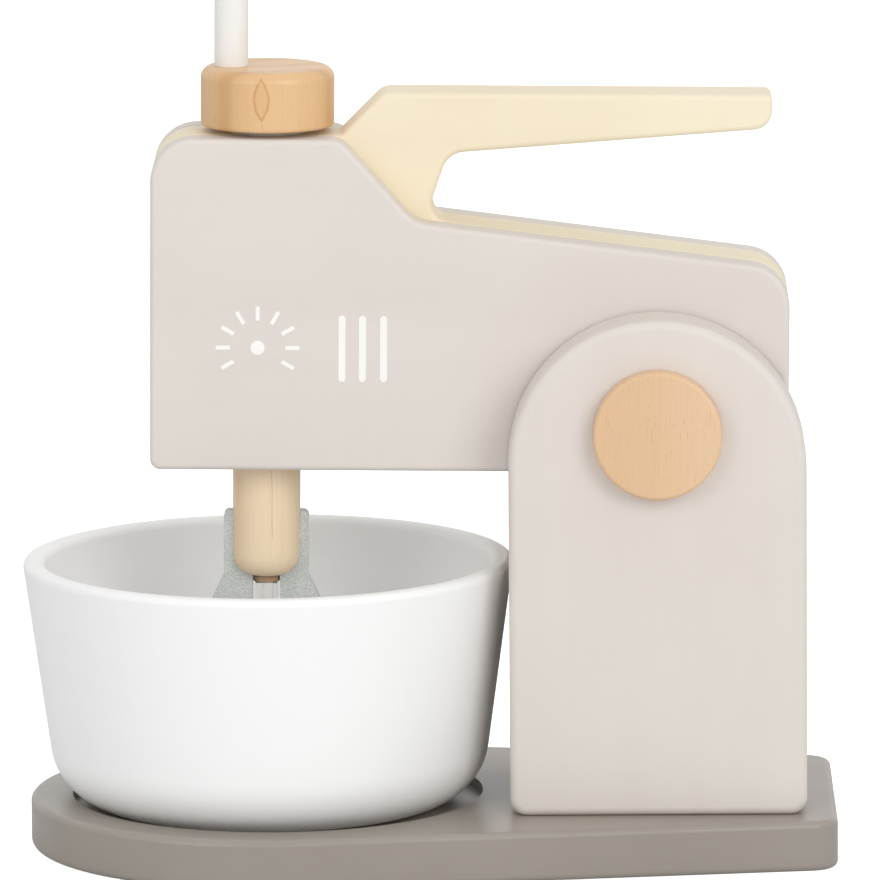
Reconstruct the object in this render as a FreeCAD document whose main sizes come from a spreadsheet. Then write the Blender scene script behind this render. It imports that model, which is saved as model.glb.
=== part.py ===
import FreeCAD, Part
import os
import re
import Sketcher
from FreeCAD import Vector, Rotation

# Wooden toy stand mixer, in millimetres. +X runs from the bowl to the tower, +Y to the rear, +Z up.
# The origin is the middle of the base board's underside.

doc = FreeCAD.newDocument("toy_stand_mixer")
sizes = doc.addObject("Spreadsheet::Sheet", "sizes")

DRIVING_SIZES = [
    # base board
    ("bow_margin", 0.5),
    ("tail_overhang", 9.0),
    ("tail_ledge", 9.0),
    ("base_tail_radius", 9.0),
    ("base_thickness", 15.0),
    ("base_edge_round", 2.0),
    ("recess_inset", 12.0),
    ("recess_depth", 3.0),
    # tower
    ("tower_width", 88.0),
    ("tower_rise", 148.2),
    ("tower_foot_radius", 5.0),
    ("cheek_thickness", 19.5),
    ("rear_cheek_inset", 3.0),
    ("cheek_edge_round", 2.5),
    ("core_front_setback", 6.0),
    ("core_rear_setback", 3.0),
    ("tower_dowel_radius", 4.0),
    ("dowel_seat", 10.0),
    ("dowel_half_spread", 14.0),
    ("low_dowel_rise", 18.0),
    ("high_dowel_rise", 56.0),
    # base screws
    ("screw_shank_radius", 2.0),
    ("screw_head_radius", 4.0),
    ("screw_cone_rise", 2.5),
    ("screw_bite", 25.0),
    ("screw_sink", 4.0),
    ("screw_half_spread", 26.0),
    # pivot
    ("rim_tuck", 3.7),
    ("pivot_rise", 115.0),
    ("axle_radius", 6.0),
    ("axle_fit", 0.05),
    ("cap_radius", 19.0),
    ("cap_thickness", 6.5),
    ("cap_bore_depth", 4.0),
    ("cap_edge_round", 1.2),
    ("cap_gap", 0.3),
    ("side_gap", 1.0),
    ("washer_thickness", 0.8),
    ("washer_radius", 13.0),
    # head, measured from the pivot
    ("head_lean", 0.7),
    ("nose_overhang", 34.2),
    ("tail_reach", 39.1),
    ("head_drop", 15.5),
    ("nose_rise", 83.5),
    ("brow_setback", 21.8),
    ("slope_run", 22.3),
    ("saddle_rise", 58.9),
    ("tail_rise", 45.6),
    ("core_thickness", 20.0),
    ("plate_thickness", 10.5),
    ("top_corner_radius", 13.0),
    ("brow_radius", 8.0),
    ("saddle_radius", 10.0),
    ("nose_foot_radius", 3.0),
    ("tail_foot_radius", 13.0),
    ("plate_edge_round", 1.6),
    ("seam_round", 0.6),
    # handle
    ("handle_rise", 96.3),
    ("handle_slope_run", 12.5),
    ("handle_end_reach", 33.5),
    ("handle_end_underside", 86.2),
    ("handle_root_underside", 78.2),
    ("handle_root_setback", 3.0),
    ("handle_root_slant", 6.6),
    ("handle_brow_radius", 6.0),
    ("handle_end_radius", 5.5),
    ("handle_tip_radius", 2.0),
    ("handle_crook_radius", 7.0),
    ("handle_heel_radius", 5.5),
    ("handle_edge_round", 1.8),
    # dowels in the head
    ("head_dowel_radius", 4.0),
    ("head_dowel_seat", 5.0),
    ("nose_dowel_inset", 15.0),
    ("nose_dowel_low", 8.0),
    ("nose_dowel_high", 60.0),
    ("saddle_dowel_rise", 14.5),
    ("tail_dowel_inset", 17.5),
    ("tail_dowel_rise", 27.0),
    # rest and open stop
    ("rest_radius", 5.0),
    ("rest_reach", 35.0),
    ("rest_gap", 0.1),
    ("open_gap", 0.5),
    # spindle, crank and bushes
    ("spindle_lead", 2.2),
    ("spindle_radius", 10.1),
    ("spindle_tip_drop", 34.9),
    ("spindle_tip_round", 6.5),
    ("journal_radius", 6.0),
    ("journal_fit", 0.05),
    ("bush_wall", 2.0),
    ("bush_length", 16.0),
    ("upper_flange_thickness", 1.5),
    ("lower_flange_thickness", 0.8),
    ("flange_lip", 3.5),
    ("bush_gap", 0.2),
    ("disc_radius", 19.85),
    ("disc_thickness", 17.8),
    ("disc_top_round", 3.4),
    ("disc_foot_round", 1.2),
    ("disc_socket_depth", 8.0),
    ("peg_offset", 10.8),
    ("peg_radius", 5.05),
    ("peg_rise", 42.0),
    ("peg_tip_round", 3.0),
    ("peg_socket_depth", 8.0),
    # beater
    ("post_width", 6.4),
    ("post_shank_radius", 3.0),
    ("post_shank_depth", 10.0),
    ("post_neck", 2.2),
    ("post_tail", 24.0),
    ("paddle_thickness", 5.0),
    ("ear_width", 2.6),
    ("ear_rise", 19.6),
    ("ear_round", 1.6),
    ("flare_half_width", 24.0),
    ("flare_drop", 24.0),
    ("paddle_foot_half_width", 14.0),
    ("paddle_drop", 50.0),
    ("paddle_corner_radius", 7.0),
    ("post_slot_clearance", 0.9),
    ("post_slot_length", 15.0),
    ("window_half_width", 4.0),
    ("window_offset", 11.5),
    ("window_top_drop", 19.0),
    ("window_rise", 22.0),
    ("pin_radius", 1.25),
    ("pin_rise", 14.0),
    # bowl
    ("bowl_shift", -2.3),
    ("bowl_radius", 73.5),
    ("bowl_rise", 74.4),
    ("bowl_taper", 10.3),
    ("bowl_wall", 6.6),
    ("bowl_floor", 6.0),
    ("bowl_foot_radius", 20.0),
    ("bowl_inner_radius", 15.0),
    ("rim_outer_round", 2.0),
    ("rim_inner_round", 2.6),
]

for row, (alias, value) in enumerate(DRIVING_SIZES, start=1):
    sizes.set("A%d" % row, alias)
    sizes.set("B%d" % row, "%s" % value)
    sizes.setAlias("B%d" % row, alias)
doc.recompute()

# Values that follow from the driving sizes, kept in the same sheet.
FOLLOWING_SIZES = [
    ("base_bow_radius", "=bowl_radius + bow_margin"),
    ("recess_radius", "=bowl_radius - recess_inset"),
    ("bowl_to_pivot", "=bowl_radius + tower_width / 2 - rim_tuck"),
    ("base_length", "=base_bow_radius + bowl_to_pivot + tower_width / 2 + tail_overhang"),
    ("spindle_reach", "=bowl_to_pivot + spindle_lead"),
    ("nose_reach", "=spindle_reach + nose_overhang"),
    ("brow_reach", "=spindle_reach - brow_setback"),
    ("saddle_reach", "=brow_reach - slope_run"),
    ("handle_brow_reach", "=brow_reach - handle_slope_run"),
    ("handle_root_reach", "=saddle_reach - handle_root_setback"),
    ("handle_crook_reach", "=handle_root_reach - handle_root_slant"),
    ("bow_x", "=-base_length / 2 + base_bow_radius"),
    ("pivot_x", "=bow_x + bowl_to_pivot"),
    ("pivot_z", "=base_thickness + pivot_rise"),
    ("tower_left", "=pivot_x - tower_width / 2"),
    ("tower_right", "=pivot_x + tower_width / 2"),
    ("head_half", "=core_thickness / 2 + plate_thickness"),
    ("cheek_inner", "=head_half + side_gap"),
    ("cheek_outer", "=cheek_inner + cheek_thickness"),
    ("cheek_middle", "=cheek_inner + cheek_thickness / 2"),
    ("base_tail_width", "=2 * (cheek_outer + tail_ledge)"),
    ("core_rise", "=pivot_rise - tail_reach - open_gap"),
    ("journal_bore", "=journal_radius + journal_fit"),
    ("bush_radius", "=journal_bore + bush_wall"),
    ("shoulder_z", "=-head_drop - lower_flange_thickness - bush_gap"),
    ("disc_z", "=nose_rise + upper_flange_thickness + bush_gap"),
    ("tip_z", "=-head_drop - spindle_tip_drop"),
]
for row, (alias, formula) in enumerate(FOLLOWING_SIZES, start=len(DRIVING_SIZES) + 1):
    sizes.set("A%d" % row, alias)
    sizes.set("B%d" % row, formula)
    sizes.setAlias("B%d" % row, alias)
doc.recompute()

ALIASES = {name for name, _ in DRIVING_SIZES + FOLLOWING_SIZES}
NODES = {}
TOLERANCE = 0.001
FULL_ROUND_MARGIN = 0.001


def bound(text):
    """Turn a formula in the sheet's words into an expression that names the sheet."""
    return re.sub(r"[a-z_]+", lambda word: "sizes." + word[0] if word[0] in ALIASES else word[0], text)


def number(text):
    """The present value of a formula in the sheet's words."""
    return float(sizes.evalExpression(bound(text)))


def origin_plane(body, role):
    """The body's own origin plane with this role."""
    return [feature for feature in body.Origin.OriginFeatures if feature.Role == role][0]


def new_body(label):
    """Start a body that becomes the node of this name."""
    body = doc.addObject("PartDesign::Body", label)
    body.Label = label
    NODES[label] = body
    return body


def new_sketch(body, name, plane, offset):
    """Start a sketch on one of the body's origin planes, moved along the plane's normal."""
    sketch = body.newObject("Sketcher::SketchObject", name)
    sketch.AttachmentSupport = (origin_plane(body, plane), [""])
    sketch.MapMode = "FlatFace"
    sketch.setExpression("AttachmentOffset.Base.z", bound(offset))
    return sketch


def hold_point(sketch, geometry, end, across, up):
    """Tie a point of the sketch to the sheet by its two coordinates."""
    for kind, text in (("DistanceX", across), ("DistanceY", up)):
        rule = Sketcher.Constraint(kind, -1, 1, geometry, end, number(text))
        index = sketch.addConstraint(rule)
        sketch.setExpression("Constraints[%d]" % index, bound(text))


def polygon(body, name, plane, corners, offset="0"):
    """A closed outline of straight lines, each corner tied to the sheet."""
    sketch = new_sketch(body, name, plane, offset)
    points = [Vector(number(across), number(up), 0) for across, up in corners]
    count = len(points)
    for index in range(count):
        sketch.addGeometry(Part.LineSegment(points[index], points[(index + 1) % count]), False)
    for index in range(count):
        sketch.addConstraint(Sketcher.Constraint("Coincident", index, 2, (index + 1) % count, 1))
    for index, (across, up) in enumerate(corners):
        hold_point(sketch, index, 1, across, up)
    return sketch


def circle(body, name, plane, across, up, radius, offset="0"):
    """A circle whose centre and radius are tied to the sheet."""
    sketch = new_sketch(body, name, plane, offset)
    centre = Vector(number(across), number(up), 0)
    sketch.addGeometry(Part.Circle(centre, Vector(0, 0, 1), number(radius)), False)
    hold_point(sketch, 0, 3, across, up)
    index = sketch.addConstraint(Sketcher.Constraint("Radius", 0, number(radius)))
    sketch.setExpression("Constraints[%d]" % index, bound(radius))
    return sketch


def pad(body, name, sketch, length):
    """Extrude a sketch along its plane's normal."""
    feature = body.newObject("PartDesign::Pad", name)
    feature.Profile = sketch
    feature.setExpression("Length", bound(length))
    doc.recompute()
    return feature


def pocket(body, name, sketch, depth):
    """Cut a sketch into the body, against its plane's normal, and make sure that it cuts."""
    before = body.Shape.Volume
    feature = body.newObject("PartDesign::Pocket", name)
    feature.Profile = sketch
    feature.setExpression("Length", bound(depth))
    doc.recompute()
    if body.Shape.Volume > before - TOLERANCE:
        raise RuntimeError("%s cuts nothing" % name)
    return feature


def revolve(body, name, sketch):
    """Turn a sketch about its own upright axis."""
    feature = body.newObject("PartDesign::Revolution", name)
    feature.Profile = sketch
    feature.ReferenceAxis = (sketch, ["V_Axis"])
    feature.Angle = 360
    doc.recompute()
    return feature


def fillet(body, name, radius, wanted):
    """Round every edge of the body that the test picks."""
    base = body.Tip
    edges = ["Edge%d" % (i + 1) for i, edge in enumerate(base.Shape.Edges) if wanted(edge)]
    if not edges:
        raise RuntimeError("%s finds no edge" % name)
    feature = body.newObject("PartDesign::Fillet", name)
    feature.Base = (base, edges)
    feature.setExpression("Radius", bound(radius))
    doc.recompute()
    return feature


def near(value, text):
    """Whether a coordinate has the value of a formula."""
    return abs(value - number(text)) < TOLERANCE


def corner_at(across, up):
    """Test for an edge along Y that stands at this corner of an XZ outline."""
    def wanted(edge):
        box = edge.BoundBox
        flat = box.XLength < TOLERANCE and box.ZLength < TOLERANCE
        return flat and near(box.XMin, across) and near(box.ZMin, up)
    return wanted


def in_plane(axis, place):
    """Test for an edge that lies in the plane across this axis."""
    def wanted(edge):
        low = getattr(edge.BoundBox, axis + "Min")
        high = getattr(edge.BoundBox, axis + "Max")
        return near(low, place) and near(high, place)
    return wanted


def ring_at(axis, place, radius):
    """Test for a round edge of this radius in the plane across this axis."""
    flat = in_plane(axis, place)

    def wanted(edge):
        return flat(edge) and hasattr(edge.Curve, "Radius") and near(edge.Curve.Radius, radius)
    return wanted


def place(thing, x, y, z):
    """Put a sub-part at a point of the stand."""
    for name, text in (("x", x), ("y", y), ("z", z)):
        thing.setExpression("Placement.Base." + name, bound(text))


def place_in_head(thing, x, y, z):
    """Put a sub-part at a point measured from the pivot in the head, which leans with its nose up."""
    thing.Placement.Rotation = Rotation(Vector(0, 1, 0), number("head_lean"))
    thing.setExpression("Placement.Rotation.Angle", bound("head_lean"))
    along = "pivot_x + (%s) * cos(head_lean) + (%s) * sin(head_lean)" % (x, z)
    upward = "pivot_z - (%s) * sin(head_lean) + (%s) * cos(head_lean)" % (x, z)
    place(thing, along, y, upward)


def crosswise_cylinder(name, radius, length, x, z):
    """A cylinder along Y, centred on the middle plane."""
    rod = doc.addObject("Part::Cylinder", name)
    rod.setExpression("Radius", bound(radius))
    rod.setExpression("Height", bound(length))
    rod.Placement.Rotation = Rotation(Vector(1, 0, 0), -90)
    place(rod, x, "(%s) / -2" % length, z)
    return rod


def group(label, members):
    """Identical pieces that share one node."""
    compound = doc.addObject("Part::Compound", label)
    compound.Label = label
    compound.Links = members
    NODES[label] = compound
    return compound


# Base board

def tangent_start(side):
    """Where the straight side leaves the round end of the base board, for the side's first guess."""
    centre = number("bow_x")
    radius = number("base_bow_radius")
    corner = Vector(number("base_length / 2") - centre, number("base_tail_width / 2"), 0)
    reach = corner.Length
    along = radius * radius / reach
    across = radius * (reach * reach - radius * radius) ** 0.5 / reach
    unit = corner * (1 / reach)
    normal = Vector(-unit.y, unit.x, 0)
    point = unit * along + normal * across
    return Vector(centre + point.x, side * point.y, 0)


def base_outline(body):
    """The round end and the two straight sides that touch it, closed by the tail."""
    sketch = new_sketch(body, "base_outline", "XY_Plane", "0")
    centre = Vector(number("bow_x"), 0, 0)
    radius = number("base_bow_radius")
    left, right = tangent_start(1), tangent_start(-1)
    tail_left = Vector(number("base_length / 2"), number("base_tail_width / 2"), 0)
    tail_right = Vector(tail_left.x, -tail_left.y, 0)
    bow = Part.Arc(left, centre - Vector(radius, 0, 0), right)
    arc = sketch.addGeometry(bow, False)
    near_side = sketch.addGeometry(Part.LineSegment(right, tail_right), False)
    tail = sketch.addGeometry(Part.LineSegment(tail_right, tail_left), False)
    far_side = sketch.addGeometry(Part.LineSegment(tail_left, left), False)
    hold_point(sketch, arc, 3, "bow_x", "0")
    index = sketch.addConstraint(Sketcher.Constraint("Radius", arc, radius))
    sketch.setExpression("Constraints[%d]" % index, bound("base_bow_radius"))
    hold_point(sketch, tail, 1, "base_length / 2", "base_tail_width / -2")
    hold_point(sketch, tail, 2, "base_length / 2", "base_tail_width / 2")
    sketch.addConstraint(Sketcher.Constraint("Coincident", near_side, 2, tail, 1))
    sketch.addConstraint(Sketcher.Constraint("Coincident", tail, 2, far_side, 1))
    for line, line_end in ((near_side, 1), (far_side, 2)):
        point = sketch.Geometry[line].StartPoint if line_end == 1 else sketch.Geometry[line].EndPoint
        ends = ((1, sketch.Geometry[arc].StartPoint), (2, sketch.Geometry[arc].EndPoint))
        arc_end = min(ends, key=lambda item: item[1].distanceToPoint(point))[0]
        sketch.addConstraint(Sketcher.Constraint("Tangent", arc, arc_end, line, line_end))
    return sketch


def base_board():
    """The board with its recess for the bowl and the stepped holes for the screws."""
    body = new_body("base_board")
    pad(body, "base_pad", base_outline(body), "base_thickness")

    def tail_corner(edge):
        box = edge.BoundBox
        upright = box.XLength < TOLERANCE and box.YLength < TOLERANCE
        return upright and near(box.XMin, "base_length / 2")

    fillet(body, "tail_corners", "base_tail_radius", tail_corner)
    fillet(body, "base_top_edge", "base_edge_round", in_plane("Z", "base_thickness"))
    fillet(body, "base_foot_edge", "base_edge_round", in_plane("Z", "0"))
    recess = circle(body, "recess_circle", "XY_Plane", "bow_x", "0", "recess_radius", "base_thickness")
    pocket(body, "recess", recess, "recess_depth")
    for index, (x, y) in enumerate(screw_places()):
        shank = circle(body, "shank_hole_%d" % index, "XY_Plane", x, y, "screw_shank_radius",
                       "base_thickness")
        pocket(body, "shank_pocket_%d" % index, shank, "base_thickness")
        sink = circle(body, "screw_sink_%d" % index, "XY_Plane", x, y, "screw_head_radius",
                      "screw_sink + screw_cone_rise")
        pocket(body, "sink_pocket_%d" % index, sink, "screw_sink + screw_cone_rise")


def screw_places():
    """The four screws stand under the middle of each cheek."""
    places = []
    for side in ("-1", "1"):
        for way in ("-1", "1"):
            places.append(("pivot_x + %s * screw_half_spread" % side, "%s * cheek_middle" % way))
    return places


def base_screws():
    """Countersunk wood screws from under the base into the cheeks."""
    screws = []
    for index, (x, y) in enumerate(screw_places()):
        cone = doc.addObject("Part::Cone", "screw_cone_%d" % index)
        cone.setExpression("Radius1", bound("screw_head_radius"))
        cone.setExpression("Radius2", bound("screw_shank_radius"))
        cone.setExpression("Height", bound("screw_cone_rise"))
        place(cone, x, y, "screw_sink")
        shank = doc.addObject("Part::Cylinder", "screw_shank_%d" % index)
        shank.setExpression("Radius", bound("screw_shank_radius"))
        shank.setExpression("Height", bound("base_thickness - screw_sink - screw_cone_rise + screw_bite"))
        place(shank, x, y, "screw_sink + screw_cone_rise")
        screw = doc.addObject("Part::Fuse", "screw_%d" % index)
        screw.Base = cone
        screw.Tool = shank
        screws.append(screw)
    group("base_screws", screws)


# Tower

def dowel_places():
    """The dowels through the tower's core: two low and two high."""
    places = []
    for rise in ("low_dowel_rise", "high_dowel_rise"):
        for side in ("-1", "1"):
            places.append(("pivot_x + %s * dowel_half_spread" % side, "base_thickness + " + rise))
    return places


def rest_place():
    """Centre of the rest dowel, just under the head's leaning underside."""
    down = "(head_drop + rest_gap + rest_radius)"
    x = "pivot_x - rest_reach * cos(head_lean) - %s * sin(head_lean)" % down
    z = "pivot_z + rest_reach * sin(head_lean) - %s * cos(head_lean)" % down
    return x, z


def cheek(label, far_plane, open_side, plain_side, inset):
    """One side board of the tower. far_plane is its rear face, as an offset towards the front."""
    body = new_body(label)
    left, right = "tower_left + " + inset, "tower_right - " + inset
    top = "base_thickness + tower_rise - " + inset
    corners = [(left, "base_thickness"), (right, "base_thickness"), (right, top), (left, top)]
    outline = polygon(body, label + "_outline", "XZ_Plane", corners, far_plane)
    pad(body, label + "_pad", outline, "cheek_thickness")

    def top_corner(edge):
        box = edge.BoundBox
        flat = box.XLength < TOLERANCE and box.ZLength < TOLERANCE
        return flat and near(box.ZMin, top)

    def foot_corner(edge):
        box = edge.BoundBox
        flat = box.XLength < TOLERANCE and box.ZLength < TOLERANCE
        return flat and near(box.ZMin, "base_thickness")

    round_top = "tower_width / 2 - %s - %s" % (inset, FULL_ROUND_MARGIN)
    fillet(body, label + "_round_top", round_top, top_corner)
    fillet(body, label + "_foot", "tower_foot_radius", foot_corner)
    fillet(body, label + "_edge", "cheek_edge_round", in_plane("Y", plain_side))
    axle = circle(body, label + "_axle_circle", "XZ_Plane", "pivot_x", "pivot_z",
                  "axle_radius + axle_fit", far_plane + " + cheek_thickness")
    pocket(body, label + "_axle_bore", axle, "cheek_thickness")
    front = open_side.startswith("-")
    step = "dowel_seat" if front else "cheek_thickness"
    for index, (x, z) in enumerate(dowel_places() + [rest_place()]):
        radius = "rest_radius" if index == len(dowel_places()) else "tower_dowel_radius"
        seat = circle(body, "%s_seat_circle_%d" % (label, index), "XZ_Plane", x, z, radius,
                      far_plane + " + " + step)
        pocket(body, "%s_seat_%d" % (label, index), seat, "dowel_seat")
    way = "-1" if front else "1"
    for index, side in enumerate(("-1", "1")):
        hole = circle(body, "%s_screw_circle_%d" % (label, index), "XY_Plane",
                      "pivot_x + %s * screw_half_spread" % side, way + " * cheek_middle",
                      "screw_shank_radius", "base_thickness + screw_bite")
        pocket(body, "%s_screw_hole_%d" % (label, index), hole, "screw_bite")


def tower_core():
    """The block between the cheeks; its top stops the head when it is open."""
    body = new_body("tower_core")
    corners = [
        ("tower_left + core_front_setback", "base_thickness"),
        ("tower_right - core_rear_setback", "base_thickness"),
        ("tower_right - core_rear_setback", "base_thickness + core_rise"),
        ("tower_left + core_front_setback", "base_thickness + core_rise"),
    ]
    outline = polygon(body, "tower_core_outline", "XZ_Plane", corners, "-1 * cheek_inner")
    pad(body, "tower_core_pad", outline, "2 * cheek_inner")
    for index, (x, z) in enumerate(dowel_places()):
        bore = circle(body, "core_bore_circle_%d" % index, "XZ_Plane", x, z, "tower_dowel_radius",
                      "cheek_inner")
        pocket(body, "core_bore_%d" % index, bore, "2 * cheek_inner")


def tower_dowels():
    """Dowels through the core into both cheeks."""
    length = "2 * (cheek_inner + dowel_seat)"
    rods = []
    for index, (x, z) in enumerate(dowel_places()):
        rods.append(crosswise_cylinder("tower_dowel_%d" % index, "tower_dowel_radius", length, x, z))
    group("tower_dowels", rods)


def head_rest_dowel():
    """The cross dowel that the head rests on."""
    x, z = rest_place()
    rod = crosswise_cylinder("head_rest_dowel", "rest_radius", "2 * (cheek_inner + dowel_seat)", x, z)
    rod.Label = "head_rest_dowel"
    NODES["head_rest_dowel"] = rod


# Pivot

def turned(label, corners, plane="XZ_Plane"):
    """A turned piece from half its section: about Z on the XZ plane, about Y on the XY plane."""
    body = new_body(label)
    revolve(body, label + "_turning", polygon(body, label + "_section", plane, corners))
    return body


def pivot_axle():
    """The axle is glued in the head and the caps, and turns in the cheeks."""
    half = "(cheek_outer + cap_gap + cap_bore_depth)"
    corners = [("0", "-1 * " + half), ("axle_radius", "-1 * " + half), ("axle_radius", half), ("0", half)]
    place_in_head(turned("pivot_axle", corners, "XY_Plane"), "0", "0", "0")


def pivot_cap(label, way):
    """A round cap with a blind socket for the axle's end."""
    inner = "%s * (cheek_outer + cap_gap)" % way
    outer = "%s * (cheek_outer + cap_gap + cap_thickness)" % way
    socket = "%s * (cheek_outer + cap_gap + cap_bore_depth)" % way
    corners = [
        ("axle_radius", inner),
        ("cap_radius", inner),
        ("cap_radius", outer),
        ("0", outer),
        ("0", socket),
        ("axle_radius", socket),
    ]
    body = turned(label, corners, "XY_Plane")
    fillet(body, label + "_edge", "cap_edge_round", ring_at("Y", outer, "cap_radius"))
    place_in_head(body, "0", "0", "0")


def pivot_washers():
    """One thin washer in each side gap between the head and a cheek."""
    rings = []
    for way in ("-1", "1"):
        middle = "%s * (head_half + side_gap / 2)" % way
        disc = crosswise_cylinder("washer_disc" + way, "washer_radius", "washer_thickness", "0", "0")
        bore = crosswise_cylinder("washer_bore" + way, "axle_radius", "washer_thickness", "0", "0")
        for rod in (disc, bore):
            rod.setExpression("Placement.Base.y", bound(middle + " - washer_thickness / 2"))
        ring = doc.addObject("Part::Cut", "washer" + way)
        ring.Base = disc
        ring.Tool = bore
        rings.append(ring)
    place_in_head(group("pivot_washers", rings), "0", "0", "0")


# Head

PLATE_CORNERS = [
    ("-1 * nose_reach", "-1 * head_drop", "nose_foot_radius"),
    ("tail_reach", "-1 * head_drop", "tail_foot_radius"),
    ("tail_reach", "tail_rise", "top_corner_radius"),
    ("-1 * saddle_reach", "saddle_rise", "saddle_radius"),
    ("-1 * brow_reach", "nose_rise", "brow_radius"),
    ("-1 * nose_reach", "nose_rise", "top_corner_radius"),
]
HEAD_DOWELS = [
    ("-1 * (nose_reach - nose_dowel_inset)", "nose_dowel_low"),
    ("-1 * (nose_reach - nose_dowel_inset)", "nose_dowel_high"),
    ("-1 * saddle_reach", "saddle_dowel_rise"),
    ("tail_reach - tail_dowel_inset", "tail_dowel_rise"),
]


def rounded_board(label, corners, far_plane, thickness):
    """A board cut from an outline, with each corner rounded by its own radius."""
    body = new_body(label)
    outline = polygon(body, label + "_outline", "XZ_Plane", [corner[:2] for corner in corners], far_plane)
    pad(body, label + "_pad", outline, thickness)
    for index, (across, up, radius) in enumerate(corners):
        fillet(body, "%s_corner_%d" % (label, index), radius, corner_at(across, up))
    return body


def head_plate(label, far_plane, front):
    """One side board of the head, rounded on its outer face."""
    body = rounded_board(label, PLATE_CORNERS, far_plane, "plate_thickness")
    outer, inner = ("-1 * head_half", "core_thickness / -2")
    if not front:
        outer, inner = ("head_half", "core_thickness / 2")
    fillet(body, label + "_outer_edge", "plate_edge_round", in_plane("Y", outer))
    fillet(body, label + "_seam_edge", "seam_round", in_plane("Y", inner))
    axle = circle(body, label + "_axle_circle", "XZ_Plane", "0", "0", "axle_radius",
                  far_plane + " + plate_thickness")
    pocket(body, label + "_axle_bore", axle, "plate_thickness")
    step = "head_dowel_seat" if front else "plate_thickness"
    for index, (x, z) in enumerate(HEAD_DOWELS):
        seat = circle(body, "%s_seat_circle_%d" % (label, index), "XZ_Plane", x, z,
                      "head_dowel_radius", far_plane + " + " + step)
        pocket(body, "%s_seat_%d" % (label, index), seat, "head_dowel_seat")
    place_in_head(body, "0", "0", "0")


CORE_CORNERS = [
    ("-1 * nose_reach", "-1 * head_drop", "nose_foot_radius"),
    ("tail_reach", "-1 * head_drop", "tail_foot_radius"),
    ("tail_reach", "tail_rise", "top_corner_radius"),
    ("-1 * handle_root_reach",
     "saddle_rise + (tail_rise - saddle_rise) * (saddle_reach - handle_root_reach)"
     " / (saddle_reach + tail_reach)", "handle_heel_radius"),
    ("-1 * handle_crook_reach", "handle_root_underside", "handle_crook_radius"),
    ("handle_end_reach", "handle_end_underside", "handle_end_radius"),
    ("handle_end_reach", "handle_rise", "handle_tip_radius"),
    ("-1 * handle_brow_reach", "handle_rise", "handle_brow_radius"),
    ("-1 * brow_reach", "nose_rise", "handle_tip_radius"),
    ("-1 * nose_reach", "nose_rise", "top_corner_radius"),
]


def head_core():
    """The middle board of the head, with the handle cut from the same board."""
    body = rounded_board("head_core", CORE_CORNERS, "core_thickness / -2", "core_thickness")

    def handle_edge(edge):
        box = edge.BoundBox
        on_face = near(abs(box.YMin), "core_thickness / 2") and box.YLength < TOLERANCE
        return on_face and box.ZMin > number("nose_rise") - TOLERANCE and box.XMin > number(
            "-1 * brow_reach") - TOLERANCE

    fillet(body, "handle_edges", "handle_edge_round", handle_edge)
    bush = circle(body, "core_bush_circle", "XY_Plane", "-1 * spindle_reach", "0", "bush_radius",
                  "nose_rise")
    pocket(body, "core_bush_bore", bush, "nose_rise + head_drop")
    axle = circle(body, "core_axle_circle", "XZ_Plane", "0", "0", "axle_radius", "core_thickness / 2")
    pocket(body, "core_axle_bore", axle, "core_thickness")
    for index, (x, z) in enumerate(HEAD_DOWELS):
        bore = circle(body, "head_bore_circle_%d" % index, "XZ_Plane", x, z, "head_dowel_radius",
                      "core_thickness / 2")
        pocket(body, "head_bore_%d" % index, bore, "core_thickness")
    place_in_head(body, "0", "0", "0")


def head_dowels():
    """Dowels that hold the head's three boards in line."""
    length = "core_thickness + 2 * head_dowel_seat"
    rods = []
    for index, (x, z) in enumerate(HEAD_DOWELS):
        rods.append(crosswise_cylinder("head_dowel_%d" % index, "head_dowel_radius", length, x, z))
    place_in_head(group("head_dowels", rods), "0", "0", "0")


# Spindle and crank, all turned about the spindle's axis

def on_spindle(body):
    """Stand a turned piece on the spindle's axis."""
    place_in_head(body, "-1 * spindle_reach", "0", "0")


def bush(label, face, flange, way):
    """A flanged bush, pressed into the head from its top or its underside."""
    flange_face = "%s + %s * %s" % (face, way, flange)
    inner_end = "%s - %s * bush_length" % (face, way)
    corners = [
        ("journal_bore", flange_face),
        ("bush_radius + flange_lip", flange_face),
        ("bush_radius + flange_lip", face),
        ("bush_radius", face),
        ("bush_radius", inner_end),
        ("journal_bore", inner_end),
    ]
    on_spindle(turned(label, corners))


def spindle():
    """The dowel below the head, with a journal up through the bushes into the crank disc."""
    corners = [
        ("post_shank_radius", "tip_z"),
        ("spindle_radius", "tip_z"),
        ("spindle_radius", "shoulder_z"),
        ("journal_radius", "shoulder_z"),
        ("journal_radius", "disc_z + disc_socket_depth"),
        ("0", "disc_z + disc_socket_depth"),
        ("0", "tip_z + post_shank_depth"),
        ("post_shank_radius", "tip_z + post_shank_depth"),
    ]
    body = turned("spindle", corners)
    fillet(body, "spindle_tip", "spindle_tip_round", ring_at("Z", "tip_z", "spindle_radius"))
    pin = circle(body, "spindle_pin_circle", "YZ_Plane", "0", "tip_z + pin_rise", "pin_radius",
                 "spindle_radius + ear_width")
    pocket(body, "spindle_pin_bore", pin, "2 * (spindle_radius + ear_width)")
    on_spindle(body)


def crank_disc():
    """The beech disc with a blind socket for the journal and one for the peg."""
    top = "disc_z + disc_thickness"
    socket = "disc_z + disc_socket_depth"
    corners = [
        ("journal_radius", "disc_z"),
        ("disc_radius", "disc_z"),
        ("disc_radius", top),
        ("0", top),
        ("0", socket),
        ("journal_radius", socket),
    ]
    body = turned("crank_disc", corners)
    fillet(body, "disc_top_edge", "disc_top_round", ring_at("Z", top, "disc_radius"))
    fillet(body, "disc_foot_edge", "disc_foot_round", ring_at("Z", "disc_z", "disc_radius"))
    peg = circle(body, "peg_socket_circle", "XY_Plane", "-1 * peg_offset", "0", "peg_radius", top)
    pocket(body, "peg_socket", peg, "peg_socket_depth")
    on_spindle(body)


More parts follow.
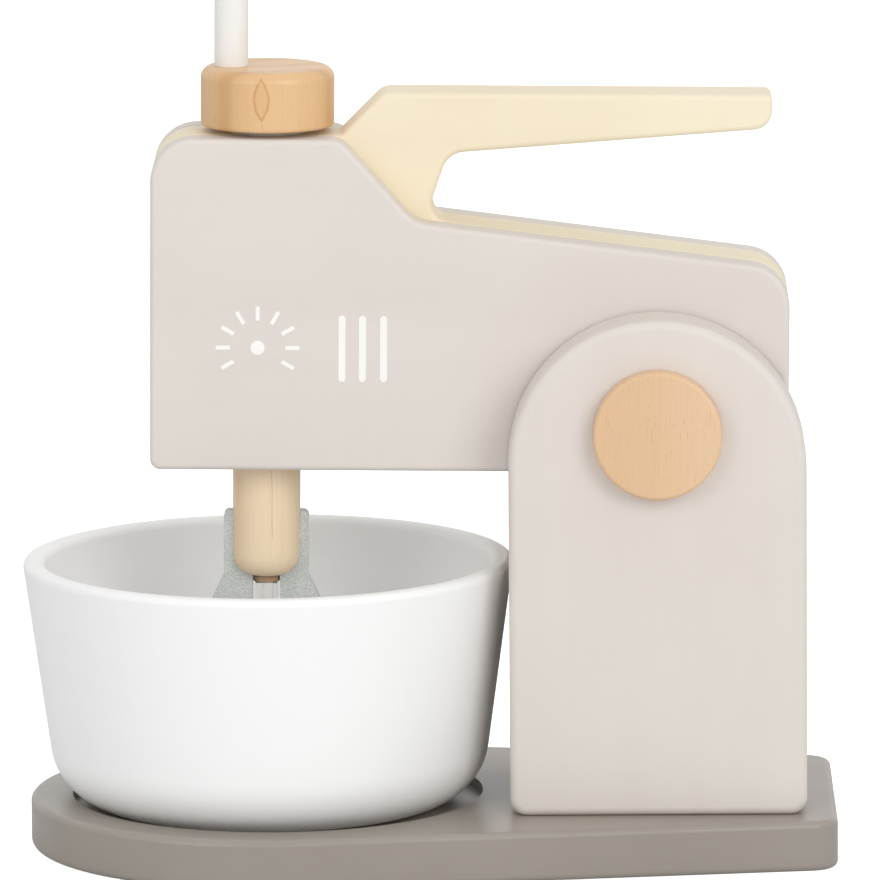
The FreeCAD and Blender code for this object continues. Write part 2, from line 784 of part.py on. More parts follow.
def crank_peg():
    """The white peg that a child turns the crank with."""
    foot = "disc_z + disc_thickness - peg_socket_depth"
    tip = "disc_z + disc_thickness + peg_rise"
    body = turned("crank_peg", [("0", foot), ("peg_radius", foot), ("peg_radius", tip), ("0", tip)])
    fillet(body, "peg_tip", "peg_tip_round", ring_at("Z", tip, "peg_radius"))
    place_in_head(body, "-1 * spindle_reach - peg_offset", "0", "0")


# Beater

def beater_post():
    """A round shank glued in the dowel, and the square post below it."""
    shank = doc.addObject("Part::Cylinder", "post_shank")
    shank.setExpression("Radius", bound("post_shank_radius"))
    shank.setExpression("Height", bound("post_shank_depth + post_neck"))
    place(shank, "0", "0", "tip_z - post_neck")
    square = doc.addObject("Part::Box", "post_square")
    square.setExpression("Length", bound("post_width"))
    square.setExpression("Width", bound("post_width"))
    square.setExpression("Height", bound("post_tail"))
    place(square, "post_width / -2", "post_width / -2", "tip_z - post_neck - post_tail")
    post = doc.addObject("Part::Fuse", "beater_post")
    post.Label = "beater_post"
    post.Base = shank
    post.Tool = square
    NODES["beater_post"] = post
    on_spindle(post)


PADDLE_SIDE = [
    ("spindle_radius + ear_width", "tip_z + ear_rise"),
    ("spindle_radius + ear_width", "tip_z"),
    ("flare_half_width", "tip_z - flare_drop"),
    ("paddle_foot_half_width", "tip_z - paddle_drop"),
]


def mirrored(corners):
    """The same corners on the other side of the middle line, in reverse order."""
    return [("-1 * (%s)" % across, up) for across, up in reversed(corners)]


def box_pocket(body, name, low_x, high_x, low_z, high_z):
    """Cut a straight slot right through the paddle."""
    corners = [(low_x, low_z), (high_x, low_z), (high_x, high_z), (low_x, high_z)]
    outline = polygon(body, name + "_outline", "XZ_Plane", corners, "paddle_thickness / 2 + post_width")
    pocket(body, name, outline, "paddle_thickness + 2 * post_width")


def dowel_section(body):
    """Half the dowel's section with its rounded tip, for the notch between the ears."""
    sketch = new_sketch(body, "dowel_section", "XZ_Plane", "0")
    corners = [
        ("spindle_radius", "tip_z + spindle_tip_round"),
        ("spindle_radius", "tip_z + 2 * ear_rise"),
        ("0", "tip_z + 2 * ear_rise"),
        ("0", "tip_z"),
        ("spindle_radius - spindle_tip_round", "tip_z"),
    ]
    points = [Vector(number(across), number(up), 0) for across, up in corners]
    last = len(points) - 1
    for index in range(last):
        sketch.addGeometry(Part.LineSegment(points[index], points[index + 1]), False)
    radius = number("spindle_tip_round")
    middle = points[last] + Vector(radius * 0.5 ** 0.5, radius * (1 - 0.5 ** 0.5), 0)
    arc = sketch.addGeometry(Part.Arc(points[last], middle, points[0]), False)
    for index in range(last - 1):
        sketch.addConstraint(Sketcher.Constraint("Coincident", index, 2, index + 1, 1))
    for index in range(last):
        hold_point(sketch, index, 1, *corners[index])
    hold_point(sketch, last - 1, 2, *corners[last])
    sketch.addConstraint(Sketcher.Constraint("Coincident", arc, 1, last - 1, 2))
    sketch.addConstraint(Sketcher.Constraint("Coincident", arc, 2, 0, 1))
    index = sketch.addConstraint(Sketcher.Constraint("Radius", arc, radius))
    sketch.setExpression("Constraints[%d]" % index, bound("spindle_tip_round"))
    return sketch


def beater_paddle():
    """The flat paddle: two ears beside the dowel, a flared blade and a slot around the post."""
    body = new_body("beater_paddle")
    outline = polygon(body, "paddle_outline", "XZ_Plane", PADDLE_SIDE + mirrored(PADDLE_SIDE),
                      "paddle_thickness / -2")
    pad(body, "paddle_pad", outline, "paddle_thickness")
    for index, radius in ((2, "paddle_corner_radius"), (3, "paddle_corner_radius"), (0, "ear_round")):
        across, up = PADDLE_SIDE[index]
        for side, sign in (("right", "1"), ("left", "-1")):
            fillet(body, "paddle_round_%d_%s" % (index, side), radius,
                   corner_at("%s * (%s)" % (sign, across), up))
    section = dowel_section(body)
    before = body.Shape.Volume
    notch = body.newObject("PartDesign::Groove", "dowel_notch")
    notch.Profile = section
    notch.ReferenceAxis = (section, ["V_Axis"])
    notch.Angle = 360
    doc.recompute()
    if body.Shape.Volume > before - TOLERANCE:
        raise RuntimeError("the dowel's notch cuts nothing")
    half_slot = "(post_width / 2 + post_slot_clearance)"
    box_pocket(body, "post_slot", "-1 * " + half_slot, half_slot,
               "tip_z - post_neck - post_slot_length", "tip_z + spindle_tip_round")
    box_pocket(body, "post_socket", "post_width / -2", "post_width / 2",
               "tip_z - post_neck - post_tail", "tip_z - post_neck")
    for side, sign in (("right", "1"), ("left", "-1")):
        middle = sign + " * window_offset"
        box_pocket(body, "window_" + side, middle + " - window_half_width", middle + " + window_half_width",
                   "tip_z - window_top_drop - window_rise", "tip_z - window_top_drop")
    pin = circle(body, "paddle_pin_circle", "YZ_Plane", "0", "tip_z + pin_rise", "pin_radius",
                 "spindle_radius + ear_width")
    pocket(body, "paddle_pin_bore", pin, "2 * (spindle_radius + ear_width)")
    on_spindle(body)


def beater_pin():
    """The pin through both ears and the dowel."""
    pin = doc.addObject("Part::Cylinder", "pin_rod")
    pin.setExpression("Radius", bound("pin_radius"))
    pin.setExpression("Height", bound("2 * (spindle_radius + ear_width)"))
    pin.Placement.Rotation = Rotation(Vector(0, 1, 0), 90)
    holder = group("beater_pin", [pin])
    place(pin, "-1 * (spindle_radius + ear_width)", "0", "tip_z + pin_rise")
    on_spindle(holder)


# Bowl

def bowl():
    """A thick turned bowl that stands loose in the recess."""
    inner_foot = "bowl_radius - bowl_taper - bowl_wall + bowl_taper * bowl_floor / bowl_rise"
    corners = [
        ("0", "0"),
        ("bowl_radius - bowl_taper", "0"),
        ("bowl_radius", "bowl_rise"),
        ("bowl_radius - bowl_wall", "bowl_rise"),
        (inner_foot, "bowl_floor"),
        ("0", "bowl_floor"),
    ]
    body = turned("bowl", corners)
    fillet(body, "bowl_foot", "bowl_foot_radius", ring_at("Z", "0", "bowl_radius - bowl_taper"))
    fillet(body, "bowl_inner_foot", "bowl_inner_radius", ring_at("Z", "bowl_floor", inner_foot))
    fillet(body, "rim_outer", "rim_outer_round", ring_at("Z", "bowl_rise", "bowl_radius"))
    fillet(body, "rim_inner", "rim_inner_round", ring_at("Z", "bowl_rise", "bowl_radius - bowl_wall"))
    place(body, "bow_x + bowl_shift", "0", "base_thickness - recess_depth")


base_board()
base_screws()
cheek("tower_front_cheek", "cheek_inner", "-1 * cheek_inner", "-1 * cheek_outer", "0")
cheek("tower_rear_cheek", "-1 * cheek_outer", "cheek_inner", "cheek_outer", "rear_cheek_inset")
tower_core()
tower_dowels()
head_rest_dowel()
pivot_axle()
pivot_cap("pivot_cap_front", "-1")
pivot_cap("pivot_cap_rear", "1")
pivot_washers()
head_plate("head_front_plate", "core_thickness / 2", True)
head_core()
head_plate("head_rear_plate", "-1 * head_half", False)
head_dowels()
bush("spindle_bush_upper", "nose_rise", "upper_flange_thickness", "1")
bush("spindle_bush_lower", "-1 * head_drop", "lower_flange_thickness", "-1")
spindle()
crank_disc()
crank_peg()
beater_post()
beater_paddle()
beater_pin()
bowl()
doc.recompute()

for thing in doc.Objects:
    if "Invalid" in thing.State or "Error" in thing.State:
        raise RuntimeError("%s did not compute: %s" % (thing.Label, thing.State))
for label, thing in NODES.items():
    if thing.Shape.isNull() or not thing.Shape.isValid():
        raise RuntimeError("%s has no valid shape" % label)

os.makedirs("parts", exist_ok=True)
for label, thing in NODES.items():
    thing.Shape.exportStep("parts/%s.step" % label)
    print(label, len(thing.Shape.Solids), round(thing.Shape.Volume, 1))
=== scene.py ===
import math

import bmesh
import bpy
from mathutils import Matrix, Vector


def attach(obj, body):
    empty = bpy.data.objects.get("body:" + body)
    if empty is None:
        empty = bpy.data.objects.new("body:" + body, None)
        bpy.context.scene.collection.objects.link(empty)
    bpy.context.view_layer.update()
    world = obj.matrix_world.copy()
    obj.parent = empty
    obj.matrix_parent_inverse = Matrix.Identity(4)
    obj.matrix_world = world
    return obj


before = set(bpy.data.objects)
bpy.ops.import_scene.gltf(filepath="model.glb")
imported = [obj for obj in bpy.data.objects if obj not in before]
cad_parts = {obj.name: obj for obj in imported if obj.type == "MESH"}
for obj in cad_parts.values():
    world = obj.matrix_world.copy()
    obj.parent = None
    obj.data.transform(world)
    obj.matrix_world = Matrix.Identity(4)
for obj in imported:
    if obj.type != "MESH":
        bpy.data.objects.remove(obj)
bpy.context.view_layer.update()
scene = bpy.context.scene

# Stand mixer toy, in metres. The head leans with its nose up by this angle about the pivot.
LEAN = math.radians(0.7)
PIVOT = Vector((0.0674, 0.0, 0.130))

# Places on the head, measured from the pivot
PLATE_FACE = -0.0205
SPINDLE_REACH = -0.116
DOWEL_TIP = -0.0504


def in_head(x, y, z):
    """A point given from the pivot along the unleaned head, in the frame."""
    return Vector((
        PIVOT.x + x * math.cos(LEAN) + z * math.sin(LEAN),
        y,
        PIVOT.z - x * math.sin(LEAN) + z * math.cos(LEAN),
    ))


# Materials

WHITE = (1, 1, 1, 1)
EVEN = (1, 1, 1)
GRAIN_SQUEEZE = 0.09
ALONG_Y = (1, GRAIN_SQUEEZE, 1)
ALONG_Z = (1, 1, GRAIN_SQUEEZE)


def linear(red, green, blue):
    """An sRGB colour of 0 to 255 as the shader's linear values."""
    values = []
    for value in (red, green, blue):
        value /= 255.0
        values.append(value / 12.92 if value <= 0.04045 else ((value + 0.055) / 1.055) ** 2.4)
    return (*values, 1.0)


class Nodes:
    """A material under construction, with short calls for its nodes."""

    def __init__(self, name, roughness, coat=0.0, coat_roughness=0.2, metallic=0.0, specular=0.5):
        self.material = bpy.data.materials.new(name)
        self.material.use_nodes = True
        self.tree = self.material.node_tree
        self.shader = self.tree.nodes["Principled BSDF"]
        self.shader.inputs["Roughness"].default_value = roughness
        self.shader.inputs["Coat Weight"].default_value = coat
        self.shader.inputs["Coat Roughness"].default_value = coat_roughness
        self.shader.inputs["Metallic"].default_value = metallic
        self.shader.inputs["Specular IOR Level"].default_value = specular

    def add(self, kind, **settings):
        node = self.tree.nodes.new(kind)
        for key, value in settings.items():
            setattr(node, key, value)
        return node

    def join(self, out_socket, in_socket):
        self.tree.links.new(out_socket, in_socket)

    def fill(self, in_socket, value):
        """Give a socket another socket's output or a plain value."""
        if isinstance(value, bpy.types.NodeSocket):
            self.join(value, in_socket)
        else:
            in_socket.default_value = value

    def place(self, scale=EVEN, shift=(0, 0, 0)):
        """Object coordinates, scaled and moved."""
        where = self.add("ShaderNodeTexCoord")
        shape = self.add("ShaderNodeMapping")
        shape.inputs["Scale"].default_value = scale
        shape.inputs["Location"].default_value = shift
        self.join(where.outputs["Object"], shape.inputs["Vector"])
        return shape.outputs["Vector"]

    def noise(self, vector, scale, detail=3.0, roughness=0.5):
        node = self.add("ShaderNodeTexNoise")
        node.inputs["Scale"].default_value = scale
        node.inputs["Detail"].default_value = detail
        node.inputs["Roughness"].default_value = roughness
        self.join(vector, node.inputs["Vector"])
        return node.outputs["Fac"]

    def ramp(self, value, *stops):
        """Colours along a value; each stop is a position and a linear colour."""
        node = self.add("ShaderNodeValToRGB")
        points = node.color_ramp.elements
        while len(points) < len(stops):
            points.new(0.5)
        for point, (position, colour) in zip(points, stops):
            point.position = position
            point.color = colour
        self.join(value, node.inputs["Fac"])
        return node.outputs["Color"]

    def mix(self, factor, first, second, blend="MIX"):
        """Mix two colours; a factor or a colour may be a socket or a value."""
        node = self.add("ShaderNodeMix", data_type="RGBA", blend_type=blend)
        factor_socket, first_socket, second_socket = node.inputs[0], node.inputs[6], node.inputs[7]
        self.fill(factor_socket, factor)
        self.fill(first_socket, first)
        self.fill(second_socket, second)
        return node.outputs[2]

    def maths(self, operation, first, second=0.0, third=0.0):
        node = self.add("ShaderNodeMath", operation=operation)
        for socket, value in zip(node.inputs, (first, second, third)):
            self.fill(socket, value)
        return node.outputs[0]

    def pointed_figure(self, x, z, half_x, half_z, tint):
        """A thin upright outline round (x, z), tinted on the line, faint inside and clear elsewhere."""
        inside = (0.97, 0.95, 0.9, 1)
        centred = self.place((1.0 / half_x, 1.0, 1.0 / half_z), (-x / half_x, 0, -z / half_z))
        parts = self.add("ShaderNodeSeparateXYZ")
        self.join(centred, parts.inputs[0])
        across = self.maths("ABSOLUTE", parts.outputs["X"])
        up = self.maths("MULTIPLY", parts.outputs["Z"], parts.outputs["Z"])
        reach = self.maths("ADD", across, up)
        waver = self.noise(self.place(), 500.0, 2.0)
        reach = self.maths("ADD", reach, self.maths("MULTIPLY_ADD", waver, 0.3, -0.15))
        half_reach = self.maths("MULTIPLY", reach, 0.5)
        return self.ramp(half_reach, (0.0, inside), (0.36, inside), (0.47, tint), (0.6, WHITE))

    def bump(self, height, strength, distance, after=None):
        node = self.add("ShaderNodeBump")
        node.inputs["Strength"].default_value = strength
        node.inputs["Distance"].default_value = distance
        self.join(height, node.inputs["Height"])
        if after is not None:
            self.join(after, node.inputs["Normal"])
        return node.outputs["Normal"]

    def vary(self, value, spread, middle):
        """A roughness that swings by the spread round its middle."""
        return self.maths("MULTIPLY_ADD", value, spread, middle - spread / 2)

    def finish(self, colour, normal=None, roughness=None):
        self.join(colour, self.shader.inputs["Base Color"])
        if normal is not None:
            self.join(normal, self.shader.inputs["Normal"])
        if roughness is not None:
            self.join(roughness, self.shader.inputs["Roughness"])
        return self.material


def painted_board(name, colour, shade, stretch=EVEN, roughness=0.5, seed=0.0, ridges=0.12, veil=0.5):
    """Satin paint over wood: slightly uneven in colour, with the fibres showing as faint long marks.

    stretch is small along the fibres; ridges is how far they stand out and veil how much they tint."""
    make = Nodes(name, roughness, specular=0.4)
    broad = make.noise(make.place(shift=(seed, 0, 0)), 14.0, 3.0)
    fibres = make.noise(make.place(stretch, (seed, 0.3, 0)), 60.0, 6.0, 0.6)
    peel = make.noise(make.place(), 900.0, 2.0)
    tone = make.ramp(broad, (0.3, shade), (0.7, colour))
    streak = make.ramp(fibres, (0.35, (0.955, 0.95, 0.945, 1)), (0.65, WHITE))
    tint = make.mix(veil, tone, streak, "MULTIPLY")
    normal = make.bump(fibres, ridges, 0.0004)
    normal = make.bump(peel, 0.06, 0.0002, normal)
    return make.finish(tint, normal, make.vary(fibres, 0.14, roughness))


def grain(name, light, middle, dark, axis, stretch, ring_scale, centre, roughness=0.42, figure=0.5,
          fleck=0.3, lines=0.6, mark=None):
    """Beech: soft growth rings round a far axis, with fine fibres and short dark pores along the grain.

    stretch is small along the grain, and centre moves the rings' middle out of the piece. figure, fleck
    and lines are the strengths of the rings, the pores and the fibres. A mark is a dark pointed figure:
    its middle, its half sizes in x and z, and its tint."""
    make = Nodes(name, roughness, coat=0.12, coat_roughness=0.3, specular=0.45)
    where = make.place(stretch, centre)
    bend = make.noise(where, 22.0, 2.0)
    rings = make.add("ShaderNodeTexWave", wave_type="RINGS", rings_direction=axis, wave_profile="SIN")
    rings.inputs["Scale"].default_value = ring_scale
    rings.inputs["Distortion"].default_value = 2.2
    rings.inputs["Detail"].default_value = 1.5
    rings.inputs["Detail Scale"].default_value = 0.7
    make.join(where, rings.inputs["Vector"])
    fine_stretch = tuple(0.3 * value if value < 1 else 1.0 for value in stretch)
    fibres = make.noise(make.place(fine_stretch, centre), 1300.0, 3.0, 0.6)
    pores = make.noise(where, 2600.0, 1.0)
    tone = make.ramp(rings.outputs["Fac"], (0.0, dark), (0.25, middle), (0.8, light))
    base = make.ramp(bend, (0.3, middle), (0.7, light))
    tone = make.mix(figure, base, tone)
    strokes = make.ramp(fibres, (0.36, (0.9, 0.87, 0.83, 1)), (0.56, WHITE))
    tone = make.mix(lines, tone, strokes, "MULTIPLY")
    spots = make.ramp(pores, (0.26, (0.72, 0.6, 0.48, 1)), (0.33, WHITE))
    tone = make.mix(fleck, tone, spots, "MULTIPLY")
    if mark is not None:
        tone = make.mix(1.0, tone, make.pointed_figure(*mark), "MULTIPLY")
    return make.finish(tone, make.bump(fibres, 0.12, 0.0002), make.vary(fibres, 0.16, roughness))


def speckled_grey():
    """Silver grey with a fine light and dark speckle."""
    make = Nodes("beater_grey", 0.45)
    fine = make.noise(make.place((1, 1, 1.6)), 2300.0, 2.0, 0.7)
    broad = make.noise(make.place(), 160.0, 3.0)
    dark, middle, light = linear(178, 182, 180), linear(204, 208, 205), linear(230, 233, 230)
    tone = make.ramp(fine, (0.32, dark), (0.5, middle), (0.7, light))
    cloud = make.ramp(broad, (0.3, (0.9, 0.9, 0.9, 1)), (0.7, WHITE))
    return make.finish(make.mix(1.0, tone, cloud, "MULTIPLY"), make.bump(fine, 0.16, 0.0002))


def drawn_metal(name, colour, streak_stretch, roughness):
    """Bright metal with drawn streaks."""
    make = Nodes(name, roughness, metallic=1.0)
    streaks = make.noise(make.place(streak_stretch), 900.0, 5.0, 0.7)
    dark = tuple(0.72 * value for value in colour[:3]) + (1,)
    tone = make.ramp(streaks, (0.3, dark), (0.5, colour))
    gloss = make.maths("MULTIPLY_ADD", streaks, 0.3, roughness - 0.12)
    return make.finish(tone, make.bump(streaks, 0.2, 0.0001), gloss)


def soft_plastic():
    """Natural nylon, slightly cloudy."""
    make = Nodes("nylon", 0.5)
    cloud = make.noise(make.place(), 240.0, 3.0)
    return make.finish(make.ramp(cloud, (0.3, linear(222, 219, 208)), (0.7, linear(232, 229, 220))))


GREIGE, GREIGE_SHADE = linear(226, 219, 212), linear(222, 214, 207)
greige = painted_board("greige_paint", GREIGE, GREIGE_SHADE, (1, 1, 0.05))
greige_head = painted_board("greige_paint_head", GREIGE, GREIGE_SHADE, (0.05, 1, 1), seed=0.7)
taupe = painted_board("base_paint", linear(160, 152, 144), linear(154, 146, 137), (0.05, 1, 1),
                      roughness=0.32, seed=1.9, ridges=0.15)
cream = painted_board("cream_paint", linear(246, 235, 208), linear(243, 229, 198), (0.04, 1, 1),
                      roughness=0.48, seed=2.6, ridges=0.2, veil=0.8)
white = painted_board("white_lacquer", linear(244, 243, 240), linear(240, 239, 235), (1, 1, 0.2),
                      roughness=0.38, seed=3.3, ridges=0.04, veil=0.1)
bowl_white = painted_board("bowl_white", linear(251, 251, 251), linear(249, 250, 249),
                           roughness=0.45, seed=4.1, ridges=0.05, veil=0.1)
print_white = painted_board("print_white", linear(252, 251, 247), linear(249, 248, 243),
                            seed=5.0, ridges=0.05)

# A knot's outline on the front of the disc, and a dark line down the front of the dowel
DISC_KNOT = (-0.0488, 0.2266, 0.0022, 0.0062, (0.8, 0.64, 0.46, 1))
DOWEL_LINE = (-0.0471, 0.104, 0.0003, 0.0105, (0.7, 0.52, 0.34, 1))
disc_wood = grain("beech_disc", linear(230, 189, 140), linear(221, 178, 127), linear(200, 151, 99),
                  "Z", ALONG_Z, 26.0, (0.0565, -0.045, 0.0),
                  roughness=0.34, figure=0.45, fleck=0.5, lines=0.25, mark=DISC_KNOT)
cap_wood = grain("beech_cap", linear(232, 197, 160), linear(226, 189, 150), linear(212, 171, 130),
                 "Z", ALONG_Z, 22.0, (-0.06, 0.12, 0.0),
                 roughness=0.6, figure=0.35, fleck=0.45, lines=0.2)
dowel_wood = grain("spindle_wood", linear(248, 225, 193), linear(242, 216, 182), linear(228, 196, 158),
                   "Z", ALONG_Z, 26.0, (0.052, -0.03, 0.0),
                   figure=0.35, fleck=0.15, lines=0.3, mark=DOWEL_LINE)
raw_wood = grain("raw_dowel", linear(236, 208, 172), linear(228, 198, 158), linear(204, 166, 122),
                 "Y", ALONG_Y, 55.0, (0.03, 0.0, 0.02), roughness=0.55)
# The collar's wood is much darker than the dowel's: partly a wood tone, partly painted shade for the shadow
# under the dowel's tip
collar_painted_shade_wood = grain("collar_painted_shade_wood", linear(176, 146, 118), linear(160, 128, 100), linear(132, 102, 78),
                    "Z", ALONG_Z, 55.0, (0.03, 0.02, 0.0), roughness=0.6)

grey = speckled_grey()
post_metal = drawn_metal("bright_steel", (0.95, 0.95, 0.94, 1), (1, 1, 0.06), 0.34)
screw_metal = drawn_metal("screw_steel", (0.66, 0.67, 0.68, 1), EVEN, 0.35)
nylon = soft_plastic()

DRESS = {
    "base_board": taupe, "base_screws": screw_metal, "tower_front_cheek": greige,
    "tower_rear_cheek": greige, "tower_core": greige, "tower_dowels": raw_wood,
    "head_rest_dowel": raw_wood, "pivot_axle": raw_wood, "pivot_cap_front": cap_wood,
    "pivot_cap_rear": cap_wood, "pivot_washers": nylon, "head_front_plate": greige_head,
    "head_core": cream, "head_rear_plate": greige_head, "head_dowels": raw_wood,
    "spindle_bush_upper": nylon, "spindle_bush_lower": nylon, "spindle": dowel_wood,
    "crank_disc": disc_wood, "crank_peg": white, "beater_paddle": grey, "beater_post": post_metal,
    "beater_pin": post_metal, "bowl": bowl_white,
}
for node, material in DRESS.items():
    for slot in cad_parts[node].material_slots:
        slot.material = material


# New pieces: prints on the front plate and a collar on the post

def mesh_from(build, name):
    """A mesh with its faces turned outwards."""
    bmesh.ops.recalc_face_normals(build, faces=build.faces)
    mesh = bpy.data.meshes.new(name)
    build.to_mesh(mesh)
    build.free()
    return mesh


def new_piece(name, mesh, material, body):
    piece = bpy.data.objects.new(name, mesh)
    scene.collection.objects.link(piece)
    mesh.materials.append(material)
    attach(piece, body)
    return piece


PRINT_THICKNESS = 0.00015


def flat_shape(name, outlines):
    """Thin closed prints that lie on the front plate; each outline is a list of (x, z) from the pivot."""
    build = bmesh.new()
    for outline in outlines:
        back = [build.verts.new(in_head(x, PLATE_FACE, z)) for x, z in outline]
        front = [build.verts.new(in_head(x, PLATE_FACE - PRINT_THICKNESS, z)) for x, z in outline]
        build.faces.new(front)
        build.faces.new(list(reversed(back)))
        count = len(outline)
        for index in range(count):
            after = (index + 1) % count
            build.faces.new((back[index], back[after], front[after], front[index]))
    return mesh_from(build, name)


def stadium(x, low, high, half_width, steps=8):
    """An upright bar with round ends."""
    points = []
    for middle, start in ((high - half_width, 0.0), (low + half_width, math.pi)):
        for step in range(steps + 1):
            turn = start + math.pi * step / steps
            points.append((x + half_width * math.cos(turn), middle + half_width * math.sin(turn)))
    return points


def tick(centre_x, centre_z, angle, inner, outer, half_width):
    """A short bar that points at the dial's centre."""
    along = Vector((math.cos(angle), math.sin(angle)))
    across = Vector((-along.y, along.x)) * half_width
    middle = Vector((centre_x, centre_z))
    corners = [middle + along * inner + across, middle + along * outer + across,
               middle + along * outer - across, middle + along * inner - across]
    return [tuple(corner) for corner in corners]


def disc_outline(centre_x, centre_z, radius, steps=24):
    turns = [2 * math.pi * step / steps for step in range(steps)]
    return [(centre_x + radius * math.cos(turn), centre_z + radius * math.sin(turn)) for turn in turns]


BAR_PLACES = (-0.0933, -0.08725, -0.0810)
BAR_FOOT, BAR_TOP, BAR_HALF_WIDTH = 0.01135, 0.0312, 0.00105
bars = flat_shape("vent_bars", [stadium(x, BAR_FOOT, BAR_TOP, BAR_HALF_WIDTH) for x in BAR_PLACES])
new_piece("vent_bars", bars, print_white, "head")

DIAL_X, DIAL_Z, DIAL_RADIUS = -0.1183, 0.0214, 0.0124
DIAL_DOT_RADIUS = 0.0021
DIAL_START, DIAL_SWEEP = -30, 240
TICK_COUNT, TICK_LENGTH, TICK_HALF_WIDTH = 9, 0.0042, 0.0006
dial_shapes = [disc_outline(DIAL_X, DIAL_Z, DIAL_DOT_RADIUS)]
for step in range(TICK_COUNT):
    angle = math.radians(DIAL_START + DIAL_SWEEP * step / (TICK_COUNT - 1))
    dial_shapes.append(tick(DIAL_X, DIAL_Z, angle, DIAL_RADIUS - TICK_LENGTH, DIAL_RADIUS, TICK_HALF_WIDTH))
new_piece("dial_marks", flat_shape("dial_marks", dial_shapes), print_white, "head")


def turned_ring(name, foot, height, inner, outer, steps=48):
    """A ring on the spindle's axis, with small chamfers; foot is its height above the pivot."""
    chamfer = 0.12 * height
    profile = [(inner, 0), (outer - chamfer, 0), (outer, chamfer), (outer, height - chamfer),
               (outer - chamfer, height), (inner, height)]
    build = bmesh.new()
    rows = []
    for step in range(steps):
        turn = 2 * math.pi * step / steps
        rows.append([build.verts.new(in_head(SPINDLE_REACH + radius * math.cos(turn),
                                             radius * math.sin(turn), foot + rise))
                     for radius, rise in profile])
    count = len(profile)
    for step in range(steps):
        first, second = rows[step], rows[(step + 1) % steps]
        for index in range(count):
            after = (index + 1) % count
            build.faces.new((first[index], second[index], second[after], first[after]))
    return mesh_from(build, name)


# A short ring under the dowel's tip; its darker brown is partly painted shade for the shadow there
COLLAR_HEIGHT, COLLAR_GAP = 0.0019, 0.0001
COLLAR_INNER, COLLAR_OUTER = 0.00305, 0.0040
collar_foot = DOWEL_TIP - COLLAR_GAP - COLLAR_HEIGHT
collar = turned_ring("post_collar", collar_foot, COLLAR_HEIGHT, COLLAR_INNER, COLLAR_OUTER)
new_piece("post_collar", collar, collar_painted_shade_wood, "crank")


# Floor, light and camera

FLOOR_HALF_SIDE = 6.0
FLOOR_TONE = 0.8
FLOOR_GLOW = 0.75
WORLD_LIGHT = 0.67

# Each lamp's name, place, side and power; all of them point at the object's middle
LAMPS = [
    ("left_key", (-0.9, -1.4, 0.9), 0.9, 4.6),
    ("right_key", (0.9, -1.4, 0.8), 0.9, 9.2),
    ("top", (0.0, 0.3, 1.8), 1.2, 2.0),
]
LAMP_AIM = Vector((0, 0, 0.12))


def stage_floor():
    """A white floor that keeps the object's soft shadow."""
    build = bmesh.new()
    bmesh.ops.create_grid(build, x_segments=1, y_segments=1, size=FLOOR_HALF_SIDE)
    mesh = bpy.data.meshes.new("floor")
    build.to_mesh(mesh)
    build.free()
    floor = bpy.data.objects.new("floor", mesh)
    scene.collection.objects.link(floor)
    make = Nodes("floor_white", 0.9, specular=0.0)
    make.shader.inputs["Base Color"].default_value = (FLOOR_TONE, FLOOR_TONE, FLOOR_TONE, 1)
    path = make.add("ShaderNodeLightPath")
    glow = make.add("ShaderNodeEmission")
    glow.inputs["Color"].default_value = WHITE
    make.join(make.maths("MULTIPLY", path.outputs["Is Camera Ray"], FLOOR_GLOW), glow.inputs["Strength"])
    both = make.add("ShaderNodeAddShader")
    make.join(make.shader.outputs[0], both.inputs[0])
    make.join(glow.outputs[0], both.inputs[1])
    make.join(both.outputs[0], make.tree.nodes["Material Output"].inputs["Surface"])
    mesh.materials.append(make.material)


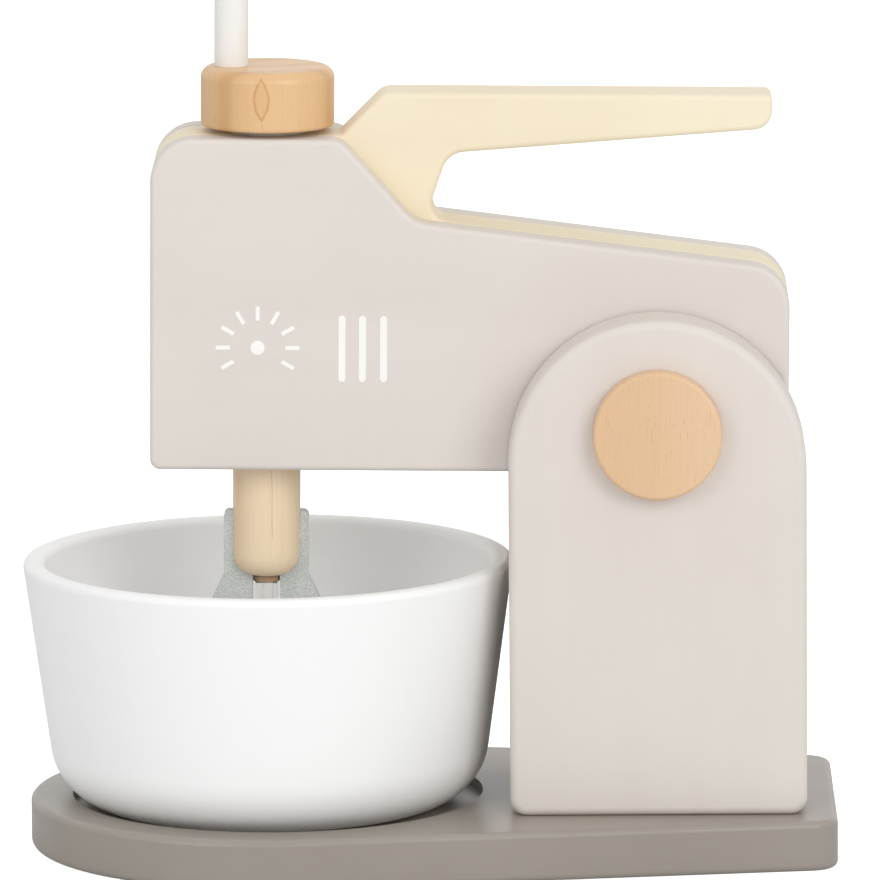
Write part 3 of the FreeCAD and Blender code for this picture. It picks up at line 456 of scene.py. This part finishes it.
def surround():
    """White to the camera, to mirrors and through glass; a softer light for everything else."""
    world = bpy.data.worlds.new("studio")
    scene.world = world
    world.use_nodes = True
    nodes, links = world.node_tree.nodes, world.node_tree.links
    back = nodes["Background"]
    back.inputs["Color"].default_value = WHITE
    path = nodes.new("ShaderNodeLightPath")
    white_to = path.outputs["Is Camera Ray"]
    for ray in ("Is Transmission Ray", "Is Glossy Ray"):
        either = nodes.new("ShaderNodeMath")
        either.operation = "MAXIMUM"
        links.new(white_to, either.inputs[0])
        links.new(path.outputs[ray], either.inputs[1])
        white_to = either.outputs[0]
    level = nodes.new("ShaderNodeMath")
    level.operation = "MULTIPLY_ADD"
    links.new(white_to, level.inputs[0])
    level.inputs[1].default_value = 1.0 - WORLD_LIGHT
    level.inputs[2].default_value = WORLD_LIGHT
    links.new(level.outputs[0], back.inputs["Strength"])


def area_lamp(name, place, side, power):
    lamp = bpy.data.lights.new(name, "AREA")
    lamp.shape = "RECTANGLE"
    lamp.size = side
    lamp.size_y = side
    lamp.energy = power
    holder = bpy.data.objects.new(name, lamp)
    scene.collection.objects.link(holder)
    holder.location = place
    holder.rotation_euler = (LAMP_AIM - Vector(place)).to_track_quat("-Z", "Y").to_euler()


stage_floor()
surround()
for lamp_settings in LAMPS:
    area_lamp(*lamp_settings)

# The photograph's view: a long lens, slightly above the object and slightly turned
LENS_PIXELS = 10605.0
IMAGE_SIDE = 880
SENSOR_WIDTH = 36.0
DISTANCE = 3.164
PITCH = math.radians(9.77)
YAW = math.radians(-0.6)
ROLL = math.radians(-0.42)
TARGET = Vector((0.00297, 0.0, 0.12132))


def camera():
    view = bpy.data.cameras.new("camera")
    view.sensor_width = SENSOR_WIDTH
    view.lens = LENS_PIXELS * SENSOR_WIDTH / IMAGE_SIDE
    view.clip_end = 50.0
    holder = bpy.data.objects.new("camera", view)
    scene.collection.objects.link(holder)
    forward = Vector((math.sin(YAW) * math.cos(PITCH), math.cos(YAW) * math.cos(PITCH), -math.sin(PITCH)))
    level = Vector((math.cos(YAW), -math.sin(YAW), 0.0))
    upright = level.cross(forward)
    right = level * math.cos(ROLL) + upright * math.sin(ROLL)
    up = upright * math.cos(ROLL) - level * math.sin(ROLL)
    turn = Matrix((right, up, -forward)).transposed().to_4x4()
    holder.matrix_world = Matrix.Translation(TARGET - forward * DISTANCE) @ turn
    scene.camera = holder


camera()
scene.view_settings.view_transform = "Standard"
